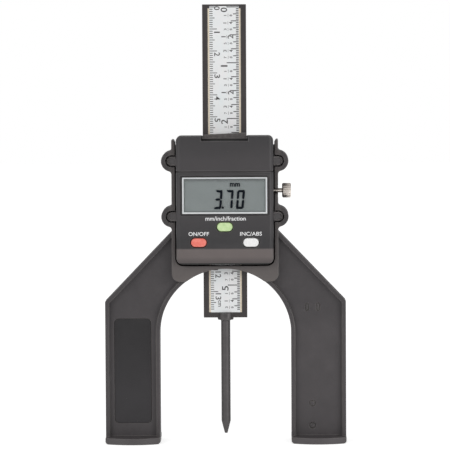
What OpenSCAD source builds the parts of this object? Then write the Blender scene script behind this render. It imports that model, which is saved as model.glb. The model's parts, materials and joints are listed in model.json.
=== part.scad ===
// Digital depth gauge: a bridge on two feet, a sliding bar with a pointed probe, and a head that reads it.
// The origin is on the base, midway between the feet and in the bar's middle plane. The front faces -Y.

/* [Bridge] */
// Overall width across both legs
bridge_width = 110; // [106:1:118]
// Clear width between the legs, which is also the diameter of the arch
jaw_width = 60; // [57:0.5:61]
// Height of the arch above the base
arch_height = 79.8; // [79:0.1:80]
// How far below the arch's top the legs' outer sides begin to slope inward
shoulder_drop = 15; // [12:0.2:18]
// How far above the arch's top the slopes meet the housing
waist_rise = 17; // [16:0.1:18]
// Depth of the legs from front to back
leg_depth = 12; // [11:0.5:14]
// Width of the raised rim round the legs
rim_width = 1.8; // [1.4:0.1:2.4]
// Depth of the pockets in the front of the legs
front_pocket_depth = 2.4; // [1.6:0.2:3]
// Thickness of the web between the front and rear pockets
web_thickness = 3; // [2:0.2:4]
// Thickness of the ribs across the rear pockets
rib_thickness = 1.5; // [1:0.1:2.5]
// Number of ribs across each rear pocket
rib_count = 4; // [2:1:6]

/* [Feet] */
// Depth of each foot from front to back
foot_depth = 30; // [26:1:40]
// How far the middle of a foot's front edge bulges past its corners
foot_bulge = 4; // [2:0.5:5]
// Thickness of the foot flange
foot_thickness = 2.9; // [2:0.1:4]
// Chamfer along the outer bottom edges of the feet
foot_chamfer = 0.8; // [0.4:0.1:1.2]

/* [Leg label] */
// Width of the bare label panel
label_panel_width = 16.6; // [12:0.2:18]
// How far below the shoulders the bare label panel ends
label_panel_drop = 8.1; // [7:0.1:20]
// Height of the panel's lower edge above the base
label_panel_bottom = 9; // [6:0.5:10]
// Thickness of the panel
label_panel_thickness = 0.4; // [0.2:0.1:0.8]
// Corner radius of the panel
label_panel_corner = 2; // [1:0.5:3]

/* [Housing] */
// Thickness of the walls beside the head
housing_wall = 1.65; // [1.4:0.05:2.2]
// Reach of the housing ahead of the bar's middle plane
housing_reach = 8; // [7:0.2:9]
// How far the side walls end below the head's top edge
housing_drop = 1.9; // [1.2:0.1:2.6]
// How far the raised platform reaches below the arch's top
platform_drop = 5.9; // [5.4:0.1:6.4]
// Radius of the platform's lower corners
platform_corner = 3.5; // [2.5:0.5:4]
// Distance from the bar's middle plane to the floor that carries the head
seat_depth = 1.2; // [1:0.1:1.4]
// How far the wall behind the bar, on which the stop screw lands, ends below the side walls
back_wall_drop = 2.6; // [2.2:0.1:4]
// Clearance beside the head
head_side_gap = 0.55; // [0.4:0.05:0.8]
// Clearance below the head
head_base_gap = 0.9; // [0.6:0.1:1.2]

/* [Ears] */
// Outer radius of the ears
ear_radius = 4.7; // [4.5:0.1:5]
// Clearance round the lugs inside the ears
lug_gap = 0.65; // [0.5:0.05:0.8]
// Radius of the lugs' rounded ends
lug_radius = 2.1; // [2:0.05:2.3]
// Reach of the lugs ahead of the bar's middle plane
lug_reach = 6; // [5.4:0.1:6.6]
// Height of the lower ears above the head's lower edge
lower_ear_rise = 21.6; // [21:0.2:22.4]
// Distance from the lower ears to the upper ears
ear_pitch = 25.3; // [24.6:0.1:26]
// Radius of the fillets between ears and wall
ear_fillet = 1.5; // [1:0.1:1.5]

/* [Head] */
// Width of the head
head_width = 44.2; // [43.6:0.2:46]
// Height of the head
head_height = 58.5; // [58:0.1:59.5]
// Height of the head's lower edge above the arch's top
head_rise = 2.2; // [2:0.1:2.6]
// Reach of the head's face ahead of the bar's middle plane
head_reach = 14; // [13.8:0.1:15]
// Wall thickness of the head's covers
head_wall = 1.6; // [1.4:0.1:1.7]
// Thickness of the head's rear frame
frame_thickness = 3.35; // [3.2:0.05:3.5]
// Radius of the head's upper corners
head_top_corner = 2.3; // [1.8:0.1:3]
// Radius of the head's lower corners
head_base_corner = 3; // [2.5:0.1:3.4]
// Radius of the head's upright front edges
head_edge_radius = 2; // [1.2:0.1:2]
// Height of the sloping chin at the bottom of the face
chin_height = 6.8; // [6:0.1:7]
// How far the chin slopes back
chin_setback = 2.6; // [1.5:0.1:3]
// Height of the seam under the battery cover, above the head's lower edge
seam_rise = 42.2; // [42:0.1:42.8]
// Width of the notch in the head's top edge
notch_width = 21.3; // [20.8:0.1:22]
// Depth of the notch in the head's top edge
notch_depth = 2.2; // [1.8:0.1:2.4]

/* [Display] */
// Width of the white display frame
display_width = 39.2; // [38:0.1:39.6]
// Height of the white display frame
display_height = 16.9; // [16:0.1:17]
// Height of the display's middle above the head's lower edge
display_rise = 31.5; // [31.4:0.1:31.7]
// Width of the white frame's bars
display_frame_width = 0.8; // [0.7:0.05:1.1]
// Gap between the white frame and the recess round it
display_gap = 0.6; // [0.5:0.05:0.7]

/* [Buttons] */
// Width of a button
button_width = 7; // [6.4:0.1:7.4]
// Height of a button
button_height = 3.9; // [3.6:0.1:4.1]
// Sideways distance from the middle to the two lower buttons
button_spread = 11.85; // [11.4:0.05:12.2]
// Height of the two lower buttons above the head's lower edge
lower_button_rise = 10.2; // [10.1:0.05:10.4]
// Height of the middle button above the head's lower edge
upper_button_rise = 17.3; // [17:0.1:17.4]
// How far the buttons stand proud of the face
button_proud = 0.7; // [0.6:0.05:1]

/* [Bar] */
// Width of the sliding bar
bar_width = 20; // [19.6:0.1:20.1]
// Thickness of the sliding bar
bar_thickness = 4; // [3.9:0.05:4.1]
// Length of the sliding bar
bar_length = 143.1; // [142:0.1:150]
// How far the bar's lower end hangs below the arch's top in the shown position
bar_drop = 22.8; // [19:0.1:30]
// Clearance between the bar and what guides it
guide_gap = 0.35; // [0.3:0.05:0.45]
// Width of the board set in the bar
scale_board_width = 15; // [14:0.1:16]
// Width of the printed label
scale_label_width = 13.4; // [12.6:0.1:13.8]
// Height of the closed lip at the bar's lower end
bar_lower_lip = 2.3; // [2.1:0.1:3]
// Height of the closed lip at the bar's upper end
bar_upper_lip = 0.7; // [0.5:0.1:1]
// Depth of the board's recess
board_recess = 1.2; // [1.1:0.1:1.4]

/* [Probe] */
// Diameter of the probe
probe_diameter = 4; // [3.6:0.1:4.4]
// Height of the probe's tip above the base, which is what the display reads
probe_tip_height = 3.7; // [0:0.1:5]
// Length of the tapered tip
probe_taper = 5.8; // [4:0.2:10]
// Diameter of the blunt end
probe_end_diameter = 0.7; // [0.5:0.1:1]
// Diameter of the slotted collar
collar_diameter = 7.3; // [6.8:0.1:8]
// Height of the collar below the bar
collar_drop = 1; // [0.8:0.1:1.6]
// Overlap of the collar's cheeks on the bar
collar_overlap = 2.1; // [1.9:0.05:2.1]

/* [Lock] */
// Height of the lock screw above the lower ears
lock_rise = 11.5; // [10.5:0.1:12.5]
// Thread diameter of the lock screw
lock_thread = 2; // [1.8:0.1:2.2]
// Diameter of the knurled knob
knob_diameter = 6.7; // [6:0.1:8]
// Length of the knurled knob
knob_length = 4.1; // [3.5:0.1:5]
// Gap between the housing wall and the knob
knob_gap = 1.8; // [1.2:0.1:2.6]
// Number of grooves round the knob
knob_grooves = 24; // [12:2:30]

/* [Hidden] */
$fn = 64;

// Overrun of the cuts past the surfaces that they open
overrun = 0.5;
// Clearance of a thread in its pilot hole
thread_clearance = 0.02;
// Clearance of a screw in a hole that it passes through
pass_clearance = 0.15;
// Clearance between pieces that move past each other
running_gap = 0.3;
// Clearance round a board, a sheet or a nut in its seat
fit_gap = 0.1;

// Places of the bridge
bridge_half = bridge_width / 2;
jaw_half = jaw_width / 2;
arch_centre = arch_height - jaw_half;
shoulder_height = arch_height - shoulder_drop;
waist_height = arch_height + waist_rise;
leg_front = -leg_depth / 2;
leg_back = leg_depth / 2;
leg_width = bridge_half - jaw_half;
leg_middle = jaw_half + leg_width / 2;
web_front = leg_front + front_pocket_depth;
web_back = web_front + web_thickness;
foot_arc = (pow(leg_width / 2, 2) + pow(foot_bulge, 2)) / (2 * foot_bulge);
foot_half_depth = foot_depth / 2;

// Places of the housing
head_half = head_width / 2;
head_bottom = arch_height + head_rise;
head_top = head_bottom + head_height;
housing_top = head_top - housing_drop;
back_wall_top = housing_top - back_wall_drop;
platform_bottom = arch_height - platform_drop;
tray_half = head_half + head_side_gap;
housing_half = tray_half + housing_wall;
housing_front = -housing_reach;
seat_front = -seat_depth;
tray_bottom = head_bottom - head_base_gap;
wing_slope = (waist_height - shoulder_height) / (bridge_half - housing_half);
rim_on_slope = rim_width * sqrt(1 + pow(wing_slope, 2));
wall_top_chamfer = 1.3;
wall_top_run = 0.7;
lower_ear_height = head_bottom + lower_ear_rise;
ear_heights = [lower_ear_height, lower_ear_height + ear_pitch];
ear_inner_radius = lug_radius + lug_gap;
ear_floor_thickness = 3;
core_wall = 2;
core_floor = 1.8;
core_ledge = 1.65;
core_margin = 3;
back_core_depth = 1.6;
mould_mark_depth = 0.25;
mould_mark_line = 0.45;
oval_mark = [1.7, 3.8];
oval_mark_height_share = 0.955;
oval_mark_place_shares = [0.288, 0.492];
round_mark_radius = 1.5;
round_mark_place_share = 0.384;
round_mark_height_shares = [0.114, 0.272];

// Places of the bar
bar_half = bar_width / 2;
bar_front = -bar_thickness / 2;
bar_back = bar_thickness / 2;
bar_bottom = arch_height - bar_drop;
bar_top = bar_bottom + bar_length;
channel_half = bar_half + guide_gap;
guide_front = bar_front - guide_gap;
guide_back = bar_back + guide_gap;
recess_floor = bar_front + board_recess;
scale_board_thickness = 0.8;
scale_label_thickness = 0.15;
scale_board_front = recess_floor - scale_board_thickness;
recess_shoulder = 1;
recess_bottom = bar_bottom + bar_lower_lip;
recess_top = bar_top - bar_upper_lip;

// Places of the head, from the face to the back
face = -head_reach;
face_inside = face + head_wall;
frame_front = seat_front - frame_thickness;
head_inner_half = head_half - head_wall;
chin_top = head_bottom + chin_height;
chin_slope = chin_setback / chin_height;
seam = head_bottom + seam_rise;
partition_thickness = 1.5;
partition_gap = 0.45;
lap_height = 1.2;
lap_thickness = 1;
notch_bottom = head_top - notch_depth;

// Screws that hold the covers to the rear frame, and the posts that they enter
case_screw_inset = 3.5;
case_screw_rise = 3.6;
case_screw_drop = 2.7;
case_screw_place = head_half - case_screw_inset;
case_screw_heights = [head_bottom + case_screw_rise, seam - case_screw_drop];
case_screw_radius = 0.8;
case_screw_head_radius = 1.7;
case_screw_head = 1.2;
case_screw_sink = 1.3;
case_screw_seat = seat_front - case_screw_sink;
case_post_radius = 2.2;
post_cover = 0.8;

// Display, from its frame to the board behind it
display_middle = head_bottom + display_rise;
recess_depth = 1.1;
recess_corner = 0.8;
bezel_seat = face + recess_depth;
bezel_thickness = 0.9;
panel_thickness = 1.6;
panel_back = bezel_seat + panel_thickness;
window_thickness = 0.4;
holder_thickness = 2.3;
holder_margin = 0.15;
holder_bar = 0.8;
holder_half = [head_inner_half - running_gap, display_height / 2 + holder_margin];
strip_inset = [2.2, 2.35];
strip_width = 1.8;
strip_half = display_width / 2 - strip_inset[0];
strip_offset = display_height / 2 - strip_inset[1];
display_board_front = panel_back + holder_thickness;
display_board_thickness = 1;
display_board_back = display_board_front + display_board_thickness;
board_side_gap = 0.7;
board_end_gap = 0.5;
display_board_half = head_inner_half - board_side_gap;
display_board_bottom = case_screw_heights[0] + case_post_radius + board_side_gap;
display_board_top = seam - partition_thickness - board_end_gap;
case_post_front = display_board_front + running_gap;
case_screw_tip = case_post_front + post_cover;
connector_half = [9, 1];
connector_rise = 15;

// Screws that hold the display board to the posts behind the face
board_screw_radius = 0.6;
board_screw_head_radius = 1.3;
board_screw_head = 0.9;
board_screw_tip = face_inside + post_cover;
board_post_radius = 1.6;
board_post_inset = 2;
board_post_spread = 4.5;
board_post_rises = [9, 20];

// Board that reads the strip on the bar
reader_ledge = 5.15;
reader_board_half = channel_half + reader_ledge;
reader_board_thickness = 1;
reader_board_front = guide_front - reader_board_thickness;
reader_board_rise = 8.2;
reader_board_height = 27.6;
reader_board_bottom = head_bottom + reader_board_rise;
reader_board_top = reader_board_bottom + reader_board_height;
chip_radius = 4;
chip_thickness = 0.9;
chip_rise = 25;
stake_radius = 0.6;
stake_head_radius = 1.1;
stake_head_height = 0.5;
stake_inset = 2.4;
stake_place = channel_half + reader_ledge / 2;
stake_heights = [reader_board_bottom + stake_inset, reader_board_top - stake_inset];

// Buttons and switches: the on-off button is on the left, the zero button on the right
lower_button_height = head_bottom + lower_button_rise;
on_off_place = [-button_spread, lower_button_height];
units_place = [0, head_bottom + upper_button_rise];
zero_place = [button_spread, lower_button_height];
dome_radius = 2.5;
dome_height = 0.5;
dome_top_share = 0.6;
button_travel = 0.5;
button_front = face - button_proud;
button_flange = 0.8;
button_flange_thickness = 0.8;
button_stem_radius = 1.3;
button_flange_front = face_inside + running_gap;
button_flange_back = button_flange_front + button_flange_thickness;
button_stem_back = display_board_front - dome_height - running_gap - button_travel;

// Battery compartment, behind the battery cover
battery_radius = 5.8;
battery_thickness = 5.4;
battery_step_radius = 5.2;
battery_step = 0.8;
battery_height = seam + battery_radius;
contact_thickness = 0.3;
contact_half = 3;
contact_tail_width = 1;
contact_reach = 5;
plus_tail_place = 7.5;
battery_back = frame_front - contact_thickness;
cup_radius = battery_radius + fit_gap;
cup_wall = 1;
cup_depth = 5;
rail_inset = 1.5;
rail_half = head_inner_half - rail_inset;
rail_thickness = 1.4;
rail_hook = 0.9;
rail_reach = 3.85;
rail_start = 1.8;
rail_length = 9;
rail_bottom = seam + rail_start;
rail_top = rail_bottom + rail_length;
rail_front = frame_front - rail_reach;
rail_hook_back = rail_front + lap_thickness;
rib_overhang = 0.5;
shelf_thickness = 1.4;
shelf_gap = 0.5;
shelf_top = notch_bottom - shelf_gap;

// Wipers across the bar
wiper_thickness = 2;
wiper_seat_half = bar_half + fit_gap;
top_wiper_drop = 1.2;
top_wiper_seat = head_top - top_wiper_drop;
top_wiper_height = 2.4;
top_wiper_slant = 0.9;
bottom_wiper_height = 1.3;

// Screws through the ears into the lugs
head_screw_radius = 0.95;
head_screw_head_radius = 1.9;
head_screw_head = 1.4;
head_screw_seat = seat_front + ear_floor_thickness;
head_screw_tip = post_cover - lug_reach;
head_screw_bore_radius = 2.2;
lug_outline = 0.45;
lug_outline_depth = 0.3;

// Cross recess of every pan head
slot_length_share = 0.65;
slot_width_share = 0.14;
slot_depth_share = 0.55;

// Lock, with its axis behind the bar's middle plane
lock_axis = 0.8;
lock_height = lower_ear_height + lock_rise;
lock_radius = lock_thread / 2;
trench_radius = lock_radius + running_gap;
pad_clearance = 0.05;
pad_radius = trench_radius - pad_clearance;
pad_length = 1.8;
pad_inner = bar_half + running_gap;
pad_outer = pad_inner + pad_length;
nut_half = 2;
nut_thickness = 1.6;
nut_setback = 4.3;
nut_inner = pad_outer + nut_setback;
nut_outer = nut_inner + nut_thickness;
nut_clearance = 0.05;
mouth_depth = 0.6;
mouth_half = 2.9;
knob_inner = housing_half + knob_gap;
knob_radius = knob_diameter / 2;
knob_chamfer = 0.4;
groove_radius = 0.3;

// Stop screw behind the bar, and the pin of the probe
stop_head_radius = 1.6;
stop_head = 1.2;
stop_radius = 0.8;
stop_depth = 2;
stop_inset = 2.2;
stop_height = bar_top - stop_inset;
pin_radius = 0.7;
pin_inset = 0.45;
collar_radius = collar_diameter / 2;
collar_bottom = bar_bottom - collar_drop;
collar_top = bar_bottom + collar_overlap;
collar_fillet = 0.5;
pin_height = bar_bottom + collar_overlap / 2;
pin_half = collar_radius - pin_inset;
probe_radius = probe_diameter / 2;
probe_end_radius = probe_end_diameter / 2;

// Colours
bridge_black = [0.32, 0.31, 0.31];
head_black = [0.28, 0.27, 0.28];
panel_black = [0.22, 0.21, 0.22];
bar_black = [0.24, 0.22, 0.22];
frame_black = [0.18, 0.18, 0.18];
lcd_white = [0.85, 0.86, 0.86];
lcd_grey = [0.49, 0.53, 0.53];
clear_grey = [0.75, 0.8, 0.82];
label_white = [0.88, 0.88, 0.9];
cream = [0.88, 0.82, 0.72];
circuit_green = [0.1, 0.4, 0.2];
steel = [0.72, 0.7, 0.68];
nickel = [0.65, 0.61, 0.58];
dark_steel = [0.34, 0.33, 0.33];
brass = [0.78, 0.64, 0.32];
felt_grey = [0.45, 0.42, 0.42];
rubber_grey = [0.6, 0.6, 0.6];
red = [0.98, 0.5, 0.45];
green = [0.74, 0.91, 0.55];
white = [0.96, 0.96, 0.96];

// Box between two opposite corners
module block(from, to) {
    translate(from) cube(to - from);
}

// Front-view drawing (x, z) extruded from one depth to another
module upright(front, back) {
    translate([0, back, 0]) rotate([90, 0, 0]) linear_extrude(back - front) children();
}

// Side-view drawing (y, z) extruded from left to right
module sideways(left, right) {
    translate([left, 0, 0]) rotate([90, 0, 90]) linear_extrude(right - left) children();
}

// Round bar from front to back at a place in the front view
module pin_back(place, radius, front, back) {
    translate([place[0], back, place[1]]) rotate([90, 0, 0]) cylinder(r = radius, h = back - front);
}

// Round bar from left to right along the lock's axis
module pin_across(radius, left, right) {
    translate([left, lock_axis, lock_height]) rotate([0, 90, 0]) cylinder(r = radius, h = right - left);
}

// The same shape on the left and on the right
module both_sides() {
    children();
    mirror([1, 0, 0]) children();
}

// Rectangle between two corners, with its lower and upper corners rounded
module rounded_plate(from, to, base_radius, top_radius) {
    low = from[1] + base_radius;
    high = to[1] - top_radius;
    polygon([
        [from[0] + base_radius, from[1]],
        [to[0] - base_radius, from[1]],
        [to[0], low],
        [to[0], high],
        [to[0] - top_radius, to[1]],
        [from[0] + top_radius, to[1]],
        [from[0], high],
        [from[0], low]
    ]);
    for (x = [from[0] + base_radius, to[0] - base_radius]) {
        translate([x, low]) circle(base_radius);
    }
    for (x = [from[0] + top_radius, to[0] - top_radius]) {
        translate([x, high]) circle(top_radius);
    }
}

// Bar with half-round ends, lying or standing, round its own middle
module stadium(width, height) {
    lying = width > height;
    core = lying ? [width - height, height] : [width, height - width];
    reach = lying ? [core[0] / 2, 0] : [0, core[1] / 2];
    square(core, center = true);
    for (side = [-1, 1]) {
        translate(side * reach) circle(min(width, height) / 2);
    }
}

// Rectangle round the display's middle
module display_rectangle(half_width, half_height) {
    translate([-half_width, display_middle - half_height]) square(2 * [half_width, half_height]);
}

// Low flat-topped dome on its base circle, pointing to the front
module dome(radius, height) {
    top_radius = radius * dome_top_share;
    rotate([90, 0, 0]) rotate_extrude() polygon([[0, 0], [radius, 0], [top_radius, height], [0, height]]);
}

// Pan-head screw with a cross recess in its head, entering from behind
module screw_from_behind(place, seat, tip, radius, head_radius, head) {
    slot = head_radius * slot_length_share;
    slot_half_width = head_radius * slot_width_share;
    slot_floor = seat + head * (1 - slot_depth_share);
    difference() {
        union() {
            pin_back(place, head_radius, seat, seat + head);
            pin_back(place, radius, tip, seat);
        }
        for (turn = [0, 90]) {
            translate([place[0], 0, place[1]]) rotate([0, turn, 0]) block(
                [-slot, slot_floor, -slot_half_width],
                [slot, seat + head + overrun, slot_half_width]
            );
        }
    }
}

// Front view of the whole bridge below the waist, without the gap between the legs
module bridge_outline() {
    polygon([
        [-bridge_half, 0],
        [bridge_half, 0],
        [bridge_half, shoulder_height],
        [housing_half, waist_height],
        [-housing_half, waist_height],
        [-bridge_half, shoulder_height]
    ]);
}

// Gap between the legs, with room added all round
module jaw_outline(room) {
    radius = jaw_half + room;
    translate([0, arch_centre]) circle(radius);
    translate([-radius, -overrun]) square([2 * radius, arch_centre + overrun]);
}

// Platform and side walls, whose tops are flat outside and slope toward the head
module housing_outline() {
    difference() {
        rounded_plate(
            [-housing_half, platform_bottom], [housing_half, housing_top + platform_corner],
            platform_corner, platform_corner
        );
        translate([-housing_half, housing_top]) square([2 * housing_half, platform_corner + overrun]);
        translate([-tray_half, back_wall_top]) square([2 * tray_half, housing_top]);
        for (side = [-1, 1]) {
            polygon([
                [side * (tray_half + wall_top_run), housing_top + overrun],
                [side * (tray_half + wall_top_run), housing_top],
                [side * tray_half, housing_top - wall_top_chamfer],
                [0, housing_top - wall_top_chamfer],
                [0, housing_top + overrun]
            ]);
        }
    }
}

// Recess inside the raised rim of one leg and its wing
module pocket_outline() {
    difference() {
        polygon([
            [0, foot_thickness],
            [bridge_half - rim_width, foot_thickness],
            [bridge_half - rim_width, shoulder_height + wing_slope * rim_width - rim_on_slope],
            [housing_half, waist_height - rim_on_slope],
            [0, waist_height - rim_on_slope]
        ]);
        jaw_outline(rim_width);
        housing_outline();
    }
}

// Outer shape of one ear with its fillets to the wall
module ear_outline(height) {
    rise = sqrt(pow(ear_radius + ear_fillet, 2) - pow(ear_fillet, 2));
    translate([housing_half, height]) {
        circle(ear_radius);
        for (side = [-1, 1]) {
            difference() {
                polygon([[0, 0], [0, side * rise], [ear_fillet, side * rise]]);
                translate([ear_fillet, side * rise]) circle(ear_fillet);
            }
        }
    }
}

// Space for one lug inside an ear
module ear_pocket(height) {
    translate([housing_half, height]) circle(ear_inner_radius);
    translate([tray_half - overrun, height - ear_inner_radius]) {
        square([housing_half - tray_half + overrun, 2 * ear_inner_radius]);
    }
}

// Foot flange of the right leg, with its front and back edges bulging
module foot() {
    intersection() {
        linear_extrude(foot_thickness) intersection() {
            translate([jaw_half, -foot_half_depth]) square([leg_width, foot_depth]);
            translate([leg_middle, foot_arc - foot_half_depth]) circle(foot_arc);
            translate([leg_middle, foot_half_depth - foot_arc]) circle(foot_arc);
        }
        upright(-foot_depth, foot_depth) polygon([
            [jaw_half + foot_chamfer, 0],
            [bridge_half - foot_chamfer, 0],
            [bridge_half, foot_chamfer],
            [bridge_half, foot_thickness],
            [jaw_half, foot_thickness],
            [jaw_half, foot_chamfer]
        ]);
    }
}

// Rear pocket of one leg with its ribs left standing
module rear_pocket() {
    pitch = (shoulder_height - foot_thickness) / rib_count;
    difference() {
        upright(web_back, leg_back + overrun) pocket_outline();
        for (number = [1 : rib_count]) {
            height = foot_thickness + number * pitch;
            block([0, web_back - overrun, height], [bridge_half, leg_back, height + rib_thickness]);
        }
    }
}

// Hollows in the back of the housing, which keep the moulding's walls even
module housing_cores() {
    lower = [tray_bottom + core_margin, lower_ear_height + ear_radius];
    upper = [lower_ear_height + ear_pitch - ear_radius - core_ledge, back_wall_top - core_margin];
    for (span = [lower, upper]) {
        both_sides() block(
            [channel_half + core_wall, seat_front + core_floor, span[0]],
            [tray_half - core_ledge, leg_back + overrun, span[1]]
        );
    }
    block(
        [core_wall - channel_half, leg_back - back_core_depth, lower[0]],
        [channel_half - core_wall, leg_back + overrun, upper[1]]
    );
}

// Trench for the lock screw and its pad, open to the front, with the nut's seat and the chamfered mouth
module lock_cuts() {
    front = housing_front - overrun;
    nut_room = nut_half + fit_gap;
    pin_across(trench_radius, channel_half - overrun, housing_half + overrun);
    block(
        [channel_half - overrun, front, lock_height - trench_radius],
        [housing_half + overrun, lock_axis, lock_height + trench_radius]
    );
    block(
        [nut_inner, seat_front - overrun, lock_height - nut_room],
        [nut_outer + fit_gap, lock_axis + nut_room, lock_height + nut_room]
    );
    translate([0, 0, lock_height]) upright(front, lock_axis + trench_radius) polygon([
        [housing_half - mouth_depth, -trench_radius],
        [housing_half, -mouth_half],
        [housing_half + overrun, -mouth_half],
        [housing_half + overrun, mouth_half],
        [housing_half, mouth_half],
        [housing_half - mouth_depth, trench_radius]
    ]);
}

// Outline of the bare panel on the left leg
module panel_outline(room) {
    middle = jaw_half + (leg_width - label_panel_width) / 2;
    rounded_plate(
        [-middle - label_panel_width - room, label_panel_bottom - room],
        [-middle + room, shoulder_height - label_panel_drop + room],
        label_panel_corner, label_panel_corner
    );
}

// Small raised-looking marks left by the mould in the right leg's pocket
module mould_marks() {
    upright(web_front - overrun, web_front + mould_mark_depth) {
        for (share = oval_mark_place_shares) {
            place = [jaw_half + leg_width * share, shoulder_height * oval_mark_height_share];
            translate(place) difference() {
                stadium(oval_mark[0], oval_mark[1]);
                stadium(oval_mark[0] - 2 * mould_mark_line, oval_mark[1] - 2 * mould_mark_line);
            }
        }
        for (share = round_mark_height_shares) {
            place = [jaw_half + leg_width * round_mark_place_share, shoulder_height * share];
            translate(place) difference() {
                circle(round_mark_radius);
                circle(round_mark_radius - mould_mark_line);
            }
        }
    }
}

module bridge_frame() {
    color(bridge_black) difference() {
        union() {
            upright(leg_front, leg_back) difference() {
                bridge_outline();
                jaw_outline(0);
            }
            upright(housing_front, leg_back) difference() {
                housing_outline();
                jaw_outline(0);
            }
            both_sides() {
                foot();
                for (height = ear_heights) {
                    upright(housing_front, leg_back) difference() {
                        ear_outline(height);
                        square([housing_half - housing_wall / 2, housing_top]);
                    }
                }
            }
        }
        upright(housing_front - overrun, seat_front) {
            rounded_plate(
                [-tray_half, tray_bottom], [tray_half, housing_top + head_height],
                head_base_corner + head_side_gap, head_base_corner
            );
        }
        block(
            [-channel_half, guide_front, arch_centre],
            [channel_half, guide_back, housing_top + overrun]
        );
        both_sides() {
            upright(leg_front - overrun, web_front) pocket_outline();
            rear_pocket();
            for (height = ear_heights) {
                upright(housing_front - overrun, seat_front) ear_pocket(height);
                place = [housing_half, height];
                pin_back(place, head_screw_radius + pass_clearance, seat_front - overrun, leg_back);
                pin_back(place, head_screw_bore_radius, head_screw_seat, leg_back + overrun);
            }
        }
        housing_cores();
        lock_cuts();
        mould_marks();
        upright(web_front - overrun, web_front + label_panel_thickness / 2) panel_outline(fit_gap);
    }
}

module leg_label() {
    seat = web_front + label_panel_thickness / 2;
    color(panel_black) upright(seat - label_panel_thickness, seat) panel_outline(0);
}

// Outline of the head in the front view
module head_outline() {
    rounded_plate([-head_half, head_bottom], [head_half, head_top], head_base_corner, head_top_corner);
}

// Outer shape of the head's covers, with the sloping chin and rounded upright edges
module head_shape() {
    intersection() {
        upright(face, frame_front) head_outline();
        sideways(-head_half, head_half) polygon([
            [frame_front, head_bottom],
            [face + chin_setback, head_bottom],
            [face, chin_top],
            [face, head_top],
            [frame_front, head_top]
        ]);
        translate([0, 0, head_bottom]) linear_extrude(head_height) rounded_plate(
            [-head_half, face], [head_half, head_edge_radius], head_edge_radius, head_edge_radius
        );
    }
}

// Space inside the head's covers
module head_space() {
    wall_on_chin = head_wall * sqrt(1 + pow(chin_slope, 2));
    floor_height = head_bottom + head_wall;
    sideways(-head_inner_half, head_inner_half) polygon([
        [frame_front + overrun, floor_height],
        [face + wall_on_chin + chin_slope * (chin_top - floor_height), floor_height],
        [face_inside, chin_top + (wall_on_chin - head_wall) / chin_slope],
        [face_inside, head_top - head_wall],
        [frame_front + overrun, head_top - head_wall]
    ]);
}

// One lug of the rear frame with its thin raised outline
module lug(height) {
    difference() {
        upright(-lug_reach, seat_front) {
            translate([housing_half, height]) circle(lug_radius);
            translate([head_half, height - lug_radius]) square([housing_half - head_half, 2 * lug_radius]);
        }
        upright(-lug_reach - overrun, lug_outline_depth - lug_reach) {
            translate([housing_half, height]) circle(lug_radius - lug_outline);
            translate([head_half - overrun, height + lug_outline - lug_radius]) {
                square([housing_half - head_half + overrun, 2 * (lug_radius - lug_outline)]);
            }
        }
        pin_back(
            [housing_half, height], head_screw_radius + thread_clearance,
            head_screw_tip - thread_clearance, seat_front + overrun
        );
    }
}

// Half ring that holds the battery's left side
module battery_cup() {
    intersection() {
        difference() {
            pin_back([0, battery_height], cup_radius + cup_wall, frame_front - cup_depth, frame_front);
            pin_back([0, battery_height], cup_radius, frame_front - cup_depth - overrun, frame_front);
        }
        block(
            [-cup_radius - cup_wall - overrun, frame_front - cup_depth, seam + fit_gap],
            [0, frame_front, battery_height + cup_radius + cup_wall]
        );
    }
}

module head_rear_frame() {
    color(frame_black) {
        difference() {
            union() {
                upright(frame_front, seat_front) head_outline();
                both_sides() {
                    for (height = ear_heights) {
                        lug(height);
                    }
                }
            }
            block(
                [-channel_half, guide_front, head_bottom - overrun],
                [channel_half, seat_front + overrun, head_top + overrun]
            );
            block(
                [-reader_board_half - fit_gap, frame_front - overrun, reader_board_bottom - fit_gap],
                [reader_board_half + fit_gap, guide_front, reader_board_top + fit_gap]
            );
            block(
                [-wiper_seat_half, frame_front - overrun, top_wiper_seat],
                [wiper_seat_half, seat_front, head_top + overrun]
            );
            block(
                [-wiper_seat_half, frame_front - overrun, head_bottom - overrun],
                [wiper_seat_half, seat_front, head_bottom + bottom_wiper_height]
            );
            both_sides() for (height = case_screw_heights) {
                place = [case_screw_place, height];
                bore = case_screw_head_radius + pass_clearance;
                pin_back(place, case_screw_radius + pass_clearance, frame_front - overrun, seat_front);
                pin_back(place, bore, case_screw_seat, seat_front + overrun);
            }
        }
        both_sides() {
            for (height = stake_heights) {
                place = [stake_place, height];
                stake_tip = reader_board_front - stake_head_height;
                pin_back(place, stake_radius, reader_board_front, guide_front);
                pin_back(place, stake_head_radius, stake_tip, reader_board_front);
            }
            block(
                [rail_half - rail_thickness, rail_front, rail_bottom],
                [rail_half, frame_front, rail_top]
            );
            block(
                [rail_half - rail_thickness, rail_front, rail_bottom],
                [rail_half + rail_hook, rail_hook_back, rail_top]
            );
        }
        battery_cup();
        block(
            [-rail_half, face_inside + running_gap, shelf_top - shelf_thickness],
            [rail_half, frame_front, shelf_top]
        );
    }
}

// Places of the four board posts in the front view
board_post_places = [
    for (side = [-1, 1]) [side * board_post_spread, head_bottom + board_post_rises[0]],
    for (side = [-1, 1]) [side * (display_board_half - board_post_inset), head_bottom + board_post_rises[1]]
];

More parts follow.
